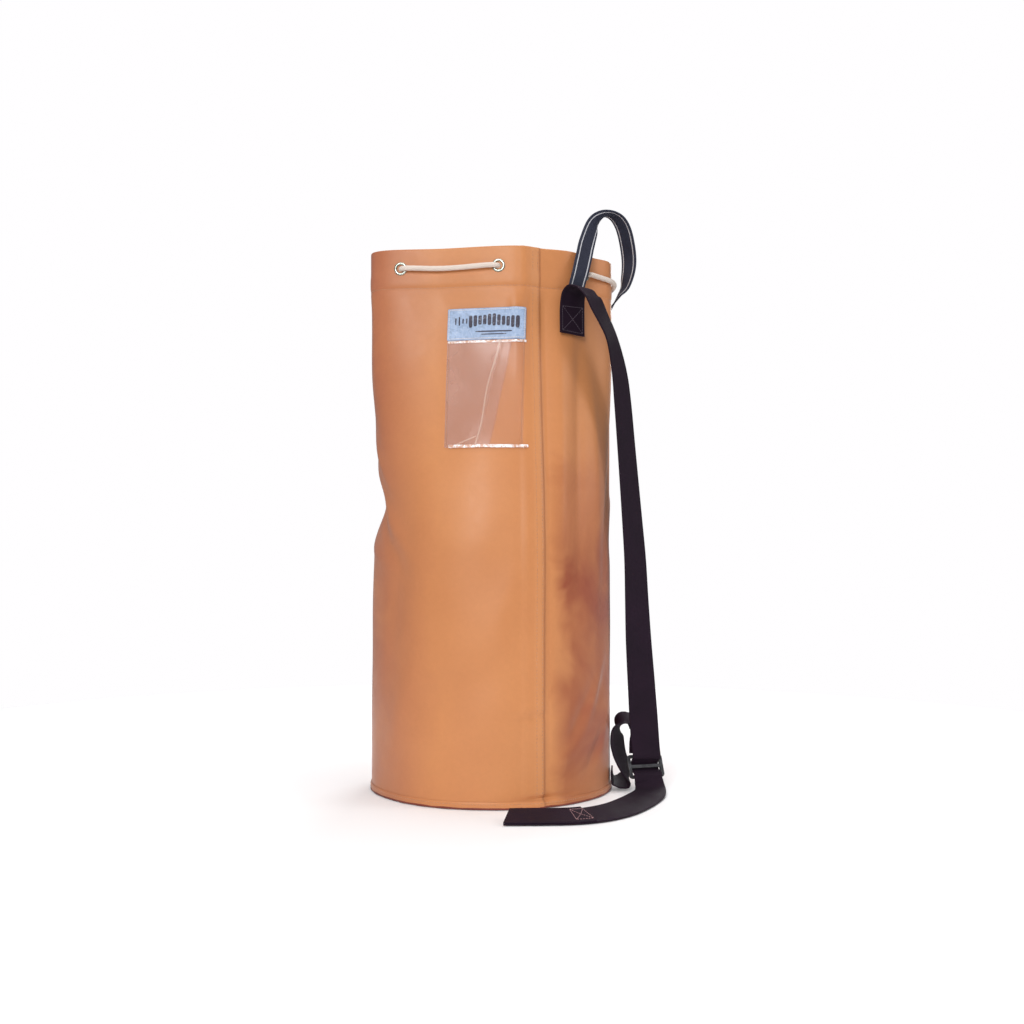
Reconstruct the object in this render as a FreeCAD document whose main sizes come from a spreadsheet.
import FreeCAD, Part
import math
import os

import Sketcher

# Rope storage bag: a round-based bag of coated fabric, standing on its base, with a drawcord through
# eight grommets round its mouth, a carry handle and a shoulder strap that ends in a buckle.
#
# Frame: millimetres, +Z up, origin at the centre of the base's underside. The front, with the identity
# pocket, faces -Y. The strap and the handle are on the +X side.
#
# A place on the bag's wall is given by its angle at the base, from -Y towards +X, its height, and how
# far it stands out from the wall's outer surface. The base is a circle. The mouth is pushed flat at the
# front, with the same length round it, and the wall goes smoothly from one shape to the other.

doc = FreeCAD.newDocument("RopeBag")

# ---------------------------------------------------------------- driving dimensions

DIMENSIONS = [
    ("bag_radius", 152.4, "outside radius of the round base, a 12 in bag"),
    ("bag_height", 670, "height of the rim"),
    ("squash_start", 300, "height where the wall begins to leave the circle"),
    ("squash_end", 600, "height where the wall has the mouth's shape"),
    ("fabric_thick", 1.5, "body panel"),
    ("layer_gap", 0.5, "space between sewn layers"),
    ("base_thick", 2, "base panel"),
    ("binding_high", 9, "binding round the base seam"),
    ("binding_thick", 1.2, "binding round the base seam"),
    ("grommet_drop", 24, "grommet centre below the rim"),
    ("grommet_hole", 4.75, "radius of the hole, a No. 2 grommet"),
    ("grommet_barrel", 5.6, "outside radius of the barrel"),
    ("grommet_flange", 8, "radius of the flange"),
    ("grommet_rise", 1.5, "height of the rolled flange"),
    ("washer_thick", 1, "grommet washer"),
    ("washer_gap", 0.6, "washer to the wall's inner face"),
    ("cord_radius", 3.175, "drawcord, 1/4 in"),
    ("handle_wide", 25.4, "handle webbing, 1 in"),
    ("strap_wide", 38.1, "strap webbing, 1 1/2 in"),
    ("webbing_thick", 2, "handle and strap webbing"),
    ("patch_bottom", 566, "lower edge of the strap's sewn end"),
    ("patch_top", 608, "top of the sewn ends"),
    ("handle_sewn_top", 603, "where the handle's ends leave the wall"),
    ("handle_inset", 8, "handle's front end above the patch's lower edge"),
    ("strap_lift", 0.6, "extra room of the strap's sewn end over the handle's"),
    ("strap_sewn_drop", 3, "top of the strap's flat sewn part below the patch's top"),
    ("backing_spare", 6, "backing past the strap's patch, at its sides and below"),
    ("backing_above", 4, "backing past the patch's top"),
    ("pocket_wide", 94, "identity pocket"),
    ("pocket_bottom", 423, "identity pocket"),
    ("pocket_top", 595, "identity pocket"),
    ("label_high", 39, "label across the top of the pocket"),
    ("window_thick", 0.6, "clear window of the pocket"),
    ("buckle_wide", 48, "buckle, across"),
    ("buckle_high", 30, "buckle, along the strap"),
    ("buckle_thick", 4, "buckle frame"),
    ("buckle_rail", 4.4, "side of the buckle frame"),
    ("buckle_bar", 4, "each of the three bars"),
    ("buckle_corner", 5, "rounding of the buckle's corners"),
    ("buckle_edge", 0.8, "rounding of the buckle's edges"),
    ("lock_radius", 9.5, "cord lock barrel"),
    ("lock_long", 30, "cord lock barrel"),
    ("lock_bore", 6, "bore for the button's stem"),
    ("lock_floor", 2.5, "closed end of the barrel"),
    ("lock_slot_long", 15, "opening for the two cords"),
    ("lock_slot_wide", 8.4, "opening for the two cords"),
    ("lock_slot_mid", 18, "middle of the opening from the closed end"),
    ("stem_radius", 5.7, "button stem"),
    ("stem_start", 8.5, "inner end of the stem from the closed end"),
    ("button_radius", 7.5, "button head"),
    ("button_gap", 4.2, "head to barrel, more than the travel"),
    ("button_high", 5, "button head"),
    ("spring_radius", 5, "spring drawn closed up, outside"),
    ("spring_bore", 3.8, "spring drawn closed up, inside"),
    ("spring_high", 2, "spring drawn closed up"),
    ("lock_level", 596, "height of the cord lock"),
    ("knot_radius", 9.5, "knot in the cord ends"),
    ("knot_level", 512, "height of the knot"),
]

sheet = doc.addObject("Spreadsheet::Sheet", "dims")
for row, (alias, value, meaning) in enumerate(DIMENSIONS, start=1):
    sheet.set("A%d" % row, alias)
    sheet.set("B%d" % row, str(value))
    sheet.set("C%d" % row, meaning)
    sheet.setAlias("B%d" % row, alias)
doc.recompute()


def dim(alias):
    return float(sheet.get(alias))


R = dim("bag_radius")
H = dim("bag_height")
FABRIC = dim("fabric_thick")
GAP = dim("layer_gap")
WEB = dim("webbing_thick")
CORD = dim("cord_radius")

# The rim's outline, as angle at the base, x and y: the flat front between its fold at the left and the
# crease beside the seam, the strap side, then the full curve of the back.
RIM = [
    (-55, -147, -62),
    (-21, -58, -80),
    (12, 30, -95),
    (25, 61, -81),
    (40, 97, -67),
    (58, 130, -33.5),
    (67, 149, -17),
    (76, 155, 5),
    (93, 152, 50),
    (113, 138, 100),
    (136, 105, 150),
    (159, 52, 180),
    (182, -8, 186),
    (205, -66, 170),
    (229, -115, 130),
    (252, -142, 75),
    (275.5, -150, 15),
]

# Angles at the base, in degrees.
GROMMET_ANGLES = [-39, 4, 51, 94, 141, 184, 231, 274]
HANDLE_FRONT = 41.5
HANDLE_REAR = 93
PATCH_ANGLE = 40
POCKET_ANGLE = -1
POCKET_LEAN = -2
LOCK_ANGLE = 162.5

# The outline's first angle, the steps round the wall, and the steps up its changing part.
FIRST = RIM[0][0]
WALL_STEP = 9
SQUASH_STEPS = 15
# Steps each way in a sheet sewn to the wall.
SHEET_STEPS = 10
# Where a cord's arc begins, as a share of its shorter run.
ARC_REACH = 0.45

V = FreeCAD.Vector


def made(label, shape):
    """A document object that holds a shape worked out here."""
    thing = doc.addObject("Part::Feature", label)
    thing.Label = label
    thing.Shape = shape
    return thing


# ---------------------------------------------------------------- the wall's shape


def rim_point(angle):
    """The rim's outline at an angle, by a cubic through its points."""
    count = len(RIM)
    a = (angle - FIRST) % 360 + FIRST
    i = max(k for k in range(count) if RIM[k][0] <= a + 1e-9)

    def key(k):
        turn, k = divmod(k, count)
        return RIM[k][0] + 360 * turn, V(RIM[k][1], RIM[k][2], 0)

    (a0, p0), (a1, p1), (a2, p2), (a3, p3) = [key(i + k) for k in (-1, 0, 1, 2)]
    span = a2 - a1
    t = (a - a1) / span
    slope1 = (p2 - p0) * (span / (a2 - a0))
    slope2 = (p3 - p1) * (span / (a3 - a1))
    return (
        p1 * (2 * t**3 - 3 * t**2 + 1)
        + slope1 * (t**3 - 2 * t**2 + t)
        + p2 * (3 * t**2 - 2 * t**3)
        + slope2 * (t**3 - t**2)
    )


def wall_line(angle, z):
    """A point on the wall's outer surface."""
    a = math.radians(angle)
    part = (z - dim("squash_start")) / (dim("squash_end") - dim("squash_start"))
    part = min(1, max(0, part))
    share = part * part * (3 - 2 * part)
    point = V(R * math.sin(a), -R * math.cos(a), 0) * (1 - share) + rim_point(angle) * share
    return point + V(0, 0, z)


def wall_along(angle, z):
    """The level direction along the wall, towards larger angles."""
    along = wall_line(angle + 1, z) - wall_line(angle - 1, z)
    return along.normalize()


def wall_out(angle, z):
    """The level direction straight out of the wall."""
    along = wall_along(angle, z)
    return V(along.y, -along.x, 0)


def wall(angle, z, out=0, along=0):
    """A place on the wall, moved out from it and along it."""
    angle = angle + math.degrees(along / R)
    return wall_line(angle, z) + wall_out(angle, z) * out


# ---------------------------------------------------------------- ways of making soft pieces


def skin(out, low, high, top):
    """A closed solid up to the wall's surface, moved out by a distance."""
    start = dim("squash_start")
    step = (dim("squash_end") - start) / SQUASH_STEPS
    heights = [low] + [start + step * k for k in range(SQUASH_STEPS + 1)] + [high]
    wires = []
    for z in heights:
        points = [wall(angle, min(z, top), out) for angle in range(FIRST, FIRST + 360, WALL_STEP)]
        curve = Part.BSplineCurve()
        curve.interpolate([V(p.x, p.y, z) for p in points], PeriodicFlag=True)
        wires.append(Part.Wire([curve.toShape()]))
    return Part.makeLoft(wires, True, True)


def sewn_sheet(angle, wide, low, high, out, thick, lean=0):
    """A sheet that lies on the wall, between two heights, leaning sideways by some degrees."""
    wires = []
    for k in range(SHEET_STEPS + 1):
        z = low + (high - low) * k / SHEET_STEPS
        shift = (z - high) * math.tan(math.radians(lean))
        row = [wide * (j / SHEET_STEPS - 0.5) - shift for j in range(SHEET_STEPS + 1)]
        outer = [wall(angle, z, out + thick, s) for s in row]
        inner = [wall(angle, z, out, s) for s in reversed(row)]
        wires.append(Part.makePolygon(outer + inner + outer[:1]))
    return Part.makeLoft(wires, True, True)


def between(keys, i, t):
    """A place between two keys of a strap, by a cubic through them."""
    p = [keys[min(len(keys) - 1, max(0, i + k))] for k in (-1, 0, 1, 2)]
    return (
        p[0] * (-0.5 * t**3 + t**2 - 0.5 * t)
        + p[1] * (1.5 * t**3 - 2.5 * t**2 + 1)
        + p[2] * (-1.5 * t**3 + 2 * t**2 + 0.5 * t)
        + p[3] * (0.5 * t**3 - 0.5 * t**2)
    )


def ribbon(keys, wide, thick, per_span=3):
    """A strap along its keys: each a middle point and the direction of its width there."""
    middles = [V(*k[:3]) for k in keys]
    widths = [V(*k[3:]).normalize() for k in keys]
    centres, acrosses = [], []
    for i in range(len(keys) - 1):
        for k in range(per_span):
            centres.append(between(middles, i, k / per_span))
            acrosses.append(between(widths, i, k / per_span))
    centres.append(middles[-1])
    acrosses.append(widths[-1])
    wires = []
    for i, centre in enumerate(centres):
        ahead = centres[min(i + 1, len(centres) - 1)] - centres[max(i - 1, 0)]
        ahead.normalize()
        across = acrosses[i] - ahead * acrosses[i].dot(ahead)
        across.normalize()
        face = ahead.cross(across) * (thick / 2)
        side = across * (wide / 2)
        corners = [centre + side + face, centre - side + face, centre - side - face]
        corners.append(centre + side - face)
        wires.append(Part.makePolygon(corners + corners[:1]))
    return Part.makeLoft(wires, True, True)


def tube(points, radius, label):
    """A cord along its points: straight runs joined by the largest arcs that they allow."""
    edges, start, radii = [], points[0], []
    for before, corner, after in zip(points, points[1:], points[2:]):
        back = before - corner
        on = after - corner
        reach = ARC_REACH * min(back.Length, on.Length)
        turn = math.pi - back.getAngle(on)
        radii.append(reach / math.tan(turn / 2))
        back.normalize()
        on.normalize()
        first = corner + back * reach
        last = corner + on * reach
        inward = (back + on).normalize()
        centre = corner + inward * math.hypot(radii[-1], reach)
        middle = centre - inward * radii[-1]
        edges.append(Part.LineSegment(start, first).toShape())
        edges.append(Part.Arc(first, middle, last).toShape())
        start = last
    edges.append(Part.LineSegment(start, points[-1]).toShape())
    path = Part.Wire(edges)
    disc = Part.Wire([Part.makeCircle(radius, points[0], points[1] - points[0])])
    solid = path.makePipeShell([disc], True, True, 0)
    expected = math.pi * radius**2 * path.Length
    print("%s: length %.1f, smallest radii %s, volume %.4f of its section times its length"
          % (label, path.Length, [round(r, 1) for r in sorted(radii)[:6]], solid.Volume / expected))
    return solid


# ---------------------------------------------------------------- ways of making hard pieces


def plane_of(body, role):
    return [f for f in body.Origin.OriginFeatures if f.Role == role][0]


def sketch_on(body, role, corners, level=None):
    """A closed outline on one of the body's planes, its corners bound to the sheet."""
    sketch = body.newObject("Sketcher::SketchObject", body.Name + "_sketch")
    sketch.AttachmentSupport = [(plane_of(body, role), "")]
    sketch.MapMode = "FlatFace"
    if level:
        sketch.setExpression("AttachmentOffset.Base.z", level)
    count = len(corners)
    spots = [V(sheet_value(x), sheet_value(y), 0) for x, y in corners]
    for i in range(count):
        sketch.addGeometry(Part.LineSegment(spots[i], spots[(i + 1) % count]), False)
    for i in range(count):
        sketch.addConstraint(Sketcher.Constraint("Coincident", i, 2, (i + 1) % count, 1))
    for i, (x, y) in enumerate(corners):
        for kind, words, value in (("DistanceX", x, spots[i].x), ("DistanceY", y, spots[i].y)):
            number = sketch.addConstraint(Sketcher.Constraint(kind, -1, 1, i, 1, value))
            sketch.setExpression("Constraints[%d]" % number, words)
    return sketch


def sheet_value(words):
    """The value now of an expression in the sheet's aliases."""
    probe.setExpression("Length", words)
    probe.recompute()
    return float(probe.Length)


def turned(label, profile):
    """A body of revolution about its own Z axis, from radius and height pairs."""
    body = doc.addObject("PartDesign::Body", label)
    body.Label = label
    sketch = sketch_on(body, "XZ_Plane", profile)
    spin = body.newObject("PartDesign::Revolution", label + "_turn")
    spin.Profile = sketch
    spin.ReferenceAxis = (sketch, ["V_Axis"])
    spin.Angle = 360
    doc.recompute()
    return body


def block(x0, x1, y0, y1):
    """The corners of a rectangle between expressions."""
    return [(x0, y0), (x1, y0), (x1, y1), (x0, y1)]


def padded(label, corners, length, level=None):
    """A body raised from an outline on the XY plane."""
    body = doc.addObject("PartDesign::Body", label)
    body.Label = label
    pad = body.newObject("PartDesign::Pad", label + "_pad")
    pad.Profile = sketch_on(body, "XY_Plane", corners, level)
    pad.setExpression("Length", length)
    doc.recompute()
    return body


def pocketed(body, corners, role="XY_Plane"):
    """Cuts an outline right through a body, both ways from one of its planes."""
    before = body.Shape.Volume
    cut = body.newObject("PartDesign::Pocket", body.Name + "_cut")
    cut.Profile = sketch_on(body, role, corners)
    cut.Type = 1
    cut.Midplane = True
    doc.recompute()
    if body.Shape.Volume > before - 1:
        raise RuntimeError("%s: a pocket cut nothing" % body.Label)


def rounded(body, radius, wanted):
    """Rounds the edges of a body that pass a test."""
    names = ["Edge%d" % (i + 1) for i, edge in enumerate(body.Shape.Edges) if wanted(edge)]
    tip = body.Tip
    fillet = body.newObject("PartDesign::Fillet", body.Name + "_round")
    fillet.Base = (tip, names)
    fillet.setExpression("Radius", radius)
    doc.recompute()


def aimed(at, z_axis, x_axis):
    """A placement whose own Z and X axes point along the directions given."""
    return FreeCAD.Placement(at, FreeCAD.Rotation(x_axis, V(), z_axis, "ZXY"))


def upright(edge):
    """Whether an edge runs along the Z axis."""
    return edge.BoundBox.ZLength > 2 and edge.BoundBox.XLength + edge.BoundBox.YLength < 0.1


# ---------------------------------------------------------------- body panel and base

HOLE_ROOM = 0.15
CUT_SPARE = 3
cord_z = H - dim("grommet_drop")
barrels = []
for angle in GROMMET_ANGLES:
    start = wall(angle, cord_z, -FABRIC - CUT_SPARE)
    hole = dim("grommet_barrel") + HOLE_ROOM
    barrels.append(Part.makeCylinder(hole, FABRIC + 2 * CUT_SPARE, start, wall_out(angle, cord_z)))

outer_skin = skin(0, 0, H, H)
inner_skin = skin(-FABRIC, -1, H + 1, H)
body_panel = made("body_panel", outer_skin.cut(inner_skin).cut(Part.makeCompound(barrels)))

base_panel = doc.addObject("Part::Cylinder", "base_panel")
base_panel.setExpression("Radius", "dims.bag_radius - dims.fabric_thick - dims.layer_gap")
base_panel.setExpression("Height", "dims.base_thick")

binding_outer = doc.addObject("Part::Cylinder", "binding_outer")
binding_outer.setExpression("Radius", "dims.bag_radius + dims.layer_gap + dims.binding_thick")
binding_outer.setExpression("Height", "dims.binding_high")
binding_inner = doc.addObject("Part::Cylinder", "binding_inner")
binding_inner.setExpression("Radius", "dims.bag_radius + dims.layer_gap")
binding_inner.setExpression("Height", "dims.binding_high")
base_binding = doc.addObject("Part::Cut", "base_binding")
base_binding.Base = binding_outer
base_binding.Tool = binding_inner

# ---------------------------------------------------------------- grommets and their washers

probe = doc.addObject("Part::Box", "probe")

hard = [base_panel, base_binding]
for number, angle in enumerate(GROMMET_ANGLES, start=1):
    place = aimed(wall(angle, cord_z), wall_out(angle, cord_z), V(0, 0, 1))
    inner_end = "-dims.fabric_thick - dims.washer_gap - dims.washer_thick - 0.5"
    grommet = turned("grommet_%d" % number, [
        ("dims.grommet_hole", inner_end),
        ("dims.grommet_barrel", inner_end),
        ("dims.grommet_barrel", "dims.layer_gap"),
        ("dims.grommet_flange", "dims.layer_gap"),
        ("dims.grommet_flange", "dims.layer_gap + dims.grommet_rise * 0.6"),
        ("dims.grommet_flange - 1.2", "dims.layer_gap + dims.grommet_rise"),
        ("dims.grommet_hole + 1.2", "dims.layer_gap + dims.grommet_rise"),
        ("dims.grommet_hole", "dims.layer_gap + dims.grommet_rise * 0.4"),
    ])
    washer = turned("grommet_washer_%d" % number, [
        ("dims.grommet_barrel + 0.05", "-dims.fabric_thick - dims.washer_gap - dims.washer_thick"),
        ("dims.grommet_flange", "-dims.fabric_thick - dims.washer_gap - dims.washer_thick"),
        ("dims.grommet_flange", "-dims.fabric_thick - dims.washer_gap"),
        ("dims.grommet_barrel + 0.05", "-dims.fabric_thick - dims.washer_gap"),
    ])
    grommet.Placement = place
    washer.Placement = place
    hard += [grommet, washer]

# ---------------------------------------------------------------- identity pocket

pocket_mid = dim("pocket_top") - dim("label_high")
id_window = made("id_window", sewn_sheet(
    POCKET_ANGLE, dim("pocket_wide"), dim("pocket_bottom"), dim("pocket_top"), GAP,
    dim("window_thick"), POCKET_LEAN))
id_label = made("id_label", sewn_sheet(
    POCKET_ANGLE, dim("pocket_wide"), pocket_mid, dim("pocket_top"), 2 * GAP + dim("window_thick"),
    dim("window_thick"), POCKET_LEAN))

# ---------------------------------------------------------------- handle

backings = []
for end, angle in (("front", PATCH_ANGLE), ("rear", HANDLE_REAR)):
    backings.append(made("handle_%s_backing" % end, sewn_sheet(
        angle, dim("strap_wide") + 2 * dim("backing_spare"), dim("patch_bottom") - dim("backing_spare"),
        dim("patch_top") + dim("backing_above"), -2 * FABRIC - GAP, FABRIC)))

# Each key: the middle of the webbing, then the direction of its width.
HANDLE_KEYS = [
    (106.5, -69.5, 631, 0.79, 0.61, 0),
    (110.3, -68, 645, 0.79, 0.61, 0),
    (114.8, -60.5, 664, 0.77, 0.64, 0),
    (119.5, -50, 684, 0.73, 0.68, 0),
    (128.4, -34.5, 710, 0.58, 0.81, 0),
    (139.5, -22, 724.5, 0.15, 0.98, -0.1),
    (152, -14, 730.5, -0.35, 0.93, 0),
    (164.3, -6, 724.5, -0.55, 0.83, 0),
    (173.5, 5, 708, -0.62, 0.78, 0),
    (180, 22, 679, -0.60, 0.80, 0),
    (177, 37, 654, -0.42, 0.90, 0),
    (169, 45.5, 639, -0.15, 0.99, 0),
    (161, 49.3, 630.5, 0.05, 1.0, 0),
]
# The ends go on up the wall past their patch, to where the handle bends.
HANDLE_FRONT_KEYS = [
    (101.2, -66.2, 596, 0.81, 0.59, 0),
    (101.6, -66.9, 606, 0.80, 0.60, 0),
    (102.8, -68.9, 618, 0.79, 0.61, 0),
]
HANDLE_REAR_KEYS = [
    (153.7, 50, 600, 0.05, 1.0, 0),
    (154.2, 50, 608, 0.06, 1.0, 0),
    (155.8, 50, 618, 0.09, 1.0, 0),
]
carry_handle = made("carry_handle", ribbon(HANDLE_KEYS, dim("handle_wide"), WEB))
handle_front_end = made("handle_front_end", sewn_sheet(
    HANDLE_FRONT, dim("handle_wide"), dim("patch_bottom") + dim("handle_inset"),
    dim("handle_sewn_top"), GAP, WEB).fuse(
        ribbon(HANDLE_FRONT_KEYS, dim("handle_wide"), WEB)))
handle_rear_end = made("handle_rear_end", sewn_sheet(
    HANDLE_REAR, dim("handle_wide"), dim("patch_bottom"), dim("handle_sewn_top"), GAP, WEB).fuse(
        ribbon(HANDLE_REAR_KEYS, dim("handle_wide"), WEB)))

# ---------------------------------------------------------------- shoulder strap

# The sewn end lies over the handle's front end, then folds over outwards at its top.
FOLD_KEYS = [
    (99.5, -70.9, 598, 0.82, 0.57, 0),
    (100.2, -72.4, 609, 0.80, 0.60, 0),
    (102, -75.5, 617.5, 0.77, 0.64, 0),
    (107, -80.5, 622, 0.72, 0.69, 0),
    (114, -86, 619.5, 0.64, 0.77, 0),
    (120.5, -89.3, 611.5, 0.57, 0.82, 0),
]
STRAP_KEYS = [
    (126.5, -89.5, 602.5, 0.58, 0.81, 0),
    (135.5, -83, 587, 0.50, 0.87, 0),
    (148.5, -71, 561, 0.46, 0.89, 0),
    (158.5, -60, 523, 0.56, 0.83, 0),
    (163.5, -54, 486, 0.62, 0.78, 0),
    (169.3, -48, 424, 0.66, 0.75, 0),
    (176.5, -40, 346, 0.72, 0.69, 0),
    (181.3, -35, 290, 0.78, 0.63, 0),
    (183.8, -32, 237, 0.83, 0.55, 0),
    (186.3, -29, 189, 0.89, 0.45, 0),
    (190, -27, 135, 0.94, 0.34, 0),
    (192.8, -27, 91, 0.97, 0.24, 0),
    (195, -29, 57, 0.97, 0.26, 0),
    (196, -33.5, 43, 0.95, 0.31, 0),
]
ANCHOR_ROOT_KEYS = [
    (154.6, -20, 11.5, 0.13, 0.99, 0),
    (159, -20.5, 9.5, 0.13, 0.99, 0),
    (164, -20.8, 8.5, 0.12, 0.97, -0.12),
]
ANCHOR_KEYS = [
    (171, -21.2, 9.5, 0.08, 0.95, -0.20),
    (173.5, -22, 12, 0.00, 0.87, -0.45),
    (174, -23, 21, 0.26, 0.89, -0.30),
    (168, -22.3, 32, 0.22, 0.97, -0.05),
    (163, -21.3, 44, 0.26, 0.96, 0),
    (160.5, -18.3, 60, 0.38, 0.92, 0),
    (162.8, -14.3, 75, 0.36, 0.93, 0),
    (171, -10, 85, -0.12, 0.99, 0),
    (183, -9, 81, 0.20, 0.98, 0),
    (189.5, -12, 69, 0.62, 0.78, 0),
    (192, -16.5, 56, 0.88, 0.47, 0),
    (193, -20, 45, 0.95, 0.31, 0),
]
TAIL_KEYS = [
    (197, -42, 17.5, 0.95, 0.31, 0),
    (198, -46, 10.5, 0.97, 0.20, 0),
    (198, -56, 6, 0.99, 0.05, -0.05),
    (193.5, -79, 5, 0.97, -0.16, -0.12),
    (182.5, -108, 5, 0.91, -0.35, -0.20),
    (167.5, -140, 5.5, 0.83, -0.52, -0.22),
    (147, -173, 5.5, 0.66, -0.72, -0.22),
    (122, -198, 5.5, 0.43, -0.87, -0.22),
    (93, -212, 5.5, 0.22, -0.95, -0.22),
    (57, -216, 5.5, 0.04, -0.98, -0.22),
    (17, -217, 5.5, 0.00, -0.98, -0.22),
]

strap_sewn_end = made("strap_sewn_end", sewn_sheet(
    PATCH_ANGLE, dim("strap_wide"), dim("patch_bottom"), dim("patch_top") - dim("strap_sewn_drop"),
    2 * GAP + WEB + dim("strap_lift"), WEB).fuse(ribbon(FOLD_KEYS, dim("strap_wide"), WEB)))
shoulder_strap = made("shoulder_strap", ribbon(STRAP_KEYS, dim("strap_wide"), WEB))
anchor_root = made("anchor_root", ribbon(ANCHOR_ROOT_KEYS, dim("strap_wide"), WEB))
anchor_strap = made("anchor_strap", ribbon(ANCHOR_KEYS, dim("strap_wide"), WEB))
strap_tail = made("strap_tail", ribbon(TAIL_KEYS, dim("strap_wide"), WEB))

# The buckle: a moulded frame with three bars, the strap over the middle one.
BUCKLE_ACROSS = V(0.951, 0.309, 0)
BUCKLE_UP = V(-0.119, 0.366, 0.923)
BUCKLE_MIDDLE = V(194.5, -31.5, 30)

half_wide = "dims.buckle_wide / 2"
slot_wide = "dims.buckle_wide / 2 - dims.buckle_rail"
half_high = "dims.buckle_high / 2"
buckle = padded("buckle", block("-" + half_wide, half_wide, "-" + half_high, half_high),
                "dims.buckle_thick", "-dims.buckle_thick / 2")
rounded(buckle, "dims.buckle_corner", upright)
rounded(buckle, "dims.buckle_edge", lambda edge: not upright(edge))
for low, high in (("dims.buckle_bar / 2", "dims.buckle_high / 2 - dims.buckle_bar"),
                  ("-dims.buckle_high / 2 + dims.buckle_bar", "-dims.buckle_bar / 2")):
    pocketed(buckle, block("-(" + slot_wide + ")", slot_wide, low, high))
buckle.Placement = aimed(BUCKLE_MIDDLE, BUCKLE_ACROSS.cross(BUCKLE_UP), BUCKLE_ACROSS)
hard.append(buckle)

# ---------------------------------------------------------------- cord lock

# The barrel lies level against the wall at the back. Its button slides along the wall, and the two
# cord ends pass down through both.
LOCK_CLEAR = 3
lock_z = dim("lock_level")
lock_along = wall_along(LOCK_ANGLE, lock_z)
lock_at = wall(LOCK_ANGLE, lock_z, dim("lock_radius") + LOCK_CLEAR) - lock_along * dim("lock_slot_mid")
lock_place = aimed(lock_at, lock_along, V(0, 0, 1))

lock_barrel = turned("cord_lock_barrel", [
    ("0", "0"),
    ("dims.lock_radius - 1.5", "0"),
    ("dims.lock_radius", "1.5"),
    ("dims.lock_radius", "dims.lock_long - 1"),
    ("dims.lock_radius - 1", "dims.lock_long"),
    ("dims.lock_bore", "dims.lock_long"),
    ("dims.lock_bore", "dims.lock_floor"),
    ("0", "dims.lock_floor"),
])
pocketed(lock_barrel, block(
    "-dims.lock_slot_wide / 2", "dims.lock_slot_wide / 2",
    "dims.lock_slot_mid - dims.lock_slot_long / 2",
    "dims.lock_slot_mid + dims.lock_slot_long / 2"), "YZ_Plane")

head_low = "dims.lock_long + dims.button_gap"
head_high = "dims.lock_long + dims.button_gap + dims.button_high"
lock_button = turned("cord_lock_button", [
    ("0", "dims.stem_start"),
    ("dims.stem_radius", "dims.stem_start"),
    ("dims.stem_radius", head_low),
    ("dims.button_radius", head_low),
    ("dims.button_radius", head_high + " - 1.5"),
    ("dims.button_radius - 1.5", head_high),
    ("0", head_high),
])
pocketed(lock_button, block(
    "-dims.lock_slot_wide / 2", "dims.lock_slot_wide / 2",
    "dims.lock_slot_mid - dims.lock_slot_long / 2",
    "dims.lock_slot_mid + dims.lock_slot_long / 2 + dims.button_gap"), "YZ_Plane")

lock_spring = turned("cord_lock_spring", [
    ("dims.spring_bore", "dims.lock_floor"),
    ("dims.spring_radius", "dims.lock_floor"),
    ("dims.spring_radius", "dims.lock_floor + dims.spring_high"),
    ("dims.spring_bore", "dims.lock_floor + dims.spring_high"),
])
for piece in (lock_barrel, lock_button, lock_spring):
    piece.Placement = lock_place
    hard.append(piece)

# ---------------------------------------------------------------- drawcord

CORD_OUT = 5.7
CORD_IN = -7.8
HOLE_STEP = 2.75

# Between two grommets, where the cord rests on the wall: share of the way, out from the wall, height.
OUTSIDE_RUN = [(0.19, 5.4, -0.5), (0.39, 5.0, -1.5), (0.61, 5.1, -1.9), (0.82, 5.5, -0.8)]
INSIDE_RUN = [(0.18, -8.4, -0.8), (0.40, -9.8, -2.2), (0.61, -10.2, -2.5), (0.82, -8.5, -1.0)]
# From the knot up through the lock to its grommet: along the wall, out from it, height.
CORD_END = [
    (5.5, 12.1, 487),
    (3.6, 12.6, 505),
    (3.5, 12.4, 530),
    (3.6, 12.55, 556),
    (3.5, 12.45, 582),
    (3.6, 12.5, 614),
    (10.0, 11.2, 627),
    (25.0, 8.4, 636),
    (42.0, 6.4, 643),
]


def cord_end(side):
    """The cord from its knotted end to its grommet, on one side of the lock."""
    points = []
    for along, out, z in CORD_END:
        place = wall(LOCK_ANGLE, max(z, lock_z), out, side * along)
        points.append(V(place.x, place.y, z))
    return points


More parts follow.
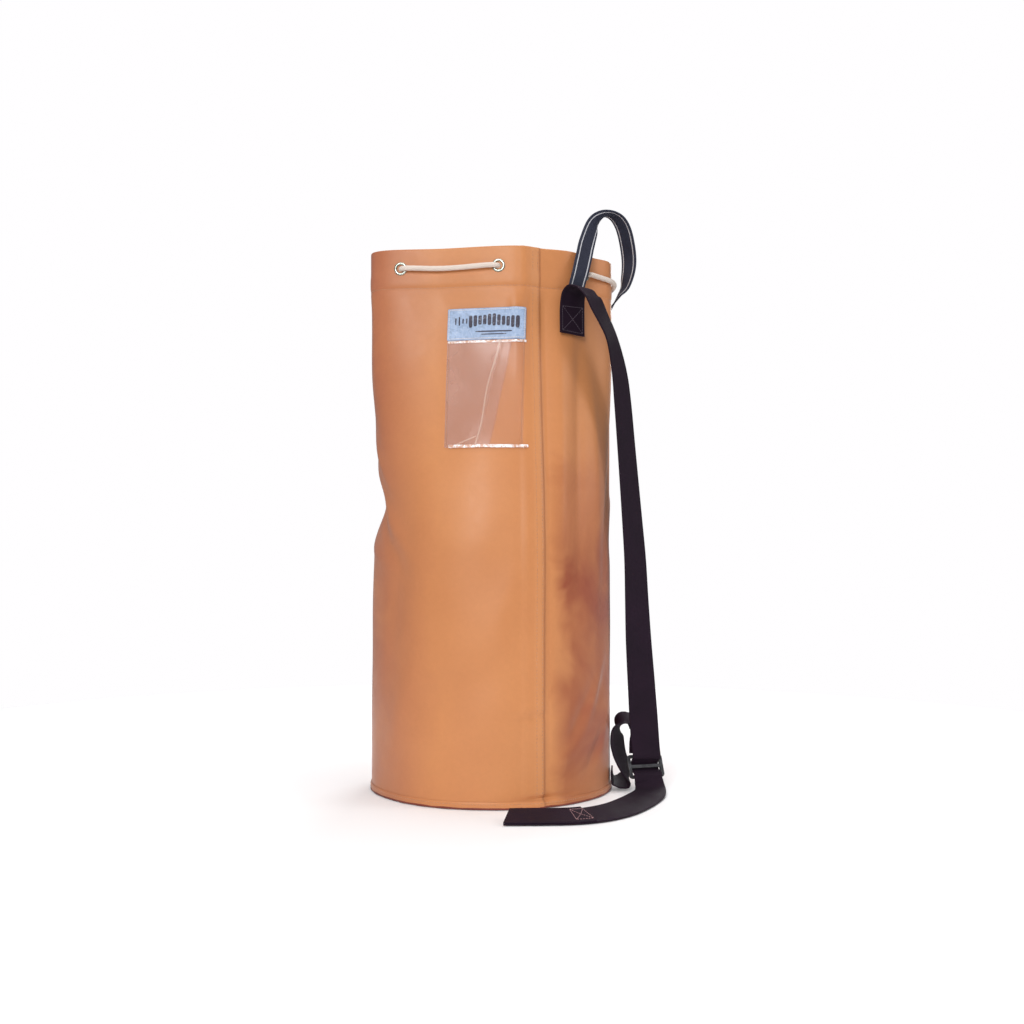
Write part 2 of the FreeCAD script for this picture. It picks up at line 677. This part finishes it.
def cord_run(start, end, outside):
    """The cord from one grommet to the next, either outside the wall or inside it."""
    level, run = (CORD_OUT, OUTSIDE_RUN) if outside else (CORD_IN, INSIDE_RUN)
    toward = 1 if end > start else -1
    points = [wall(start, cord_z, level, toward * HOLE_STEP)]
    points += [wall(start + (end - start) * share, cord_z + sag, out) for share, out, sag in run]
    return points + [wall(end, cord_z, level, -toward * HOLE_STEP)]


# The grommets' angles in the order that the cord passes through them.
stops = [141, 94, 51, 4, -39, -86, -129, -176]
cord_points = cord_end(-1) + [wall(stops[0], cord_z, CORD_OUT, HOLE_STEP)]
for number, (start, end) in enumerate(zip(stops, stops[1:])):
    cord_points += cord_run(start, end, number % 2 == 1)
cord_points += [wall(stops[-1], cord_z, CORD_OUT, -HOLE_STEP)] + cord_end(1)[::-1]
drawcord = made("drawcord", tube(cord_points, CORD, "drawcord"))

knot = doc.addObject("Part::Sphere", "cord_end_knot")
knot.setExpression("Radius", "dims.knot_radius")
KNOT_OUT = 12.4
knot_at = wall(LOCK_ANGLE, lock_z, KNOT_OUT)
knot.Placement.Base = V(knot_at.x, knot_at.y, dim("knot_level"))
hard.append(knot)

# ---------------------------------------------------------------- check and write

doc.recompute()
pieces = hard + backings + [
    body_panel, id_window, id_label, handle_front_end, handle_rear_end, carry_handle,
    strap_sewn_end, shoulder_strap, anchor_root, anchor_strap, strap_tail, drawcord,
]
for thing in doc.Objects:
    if {"Invalid", "Error"} & set(thing.State):
        raise RuntimeError("%s: %s" % (thing.Label, thing.State))
os.makedirs("parts", exist_ok=True)
for piece in pieces:
    shape = piece.Shape
    if shape.isNull() or not shape.isValid() or not shape.Solids or shape.Volume <= 0:
        raise RuntimeError("%s is not a sound solid" % piece.Label)
    shape.exportStep("parts/%s.step" % piece.Label)
    box = shape.BoundBox
    print("%-22s %9.0f mm3  %d solid  x %.0f..%.0f  y %.0f..%.0f  z %.1f..%.1f" % (
        piece.Label, shape.Volume, len(shape.Solids), box.XMin, box.XMax, box.YMin, box.YMax,
        box.ZMin, box.ZMax))
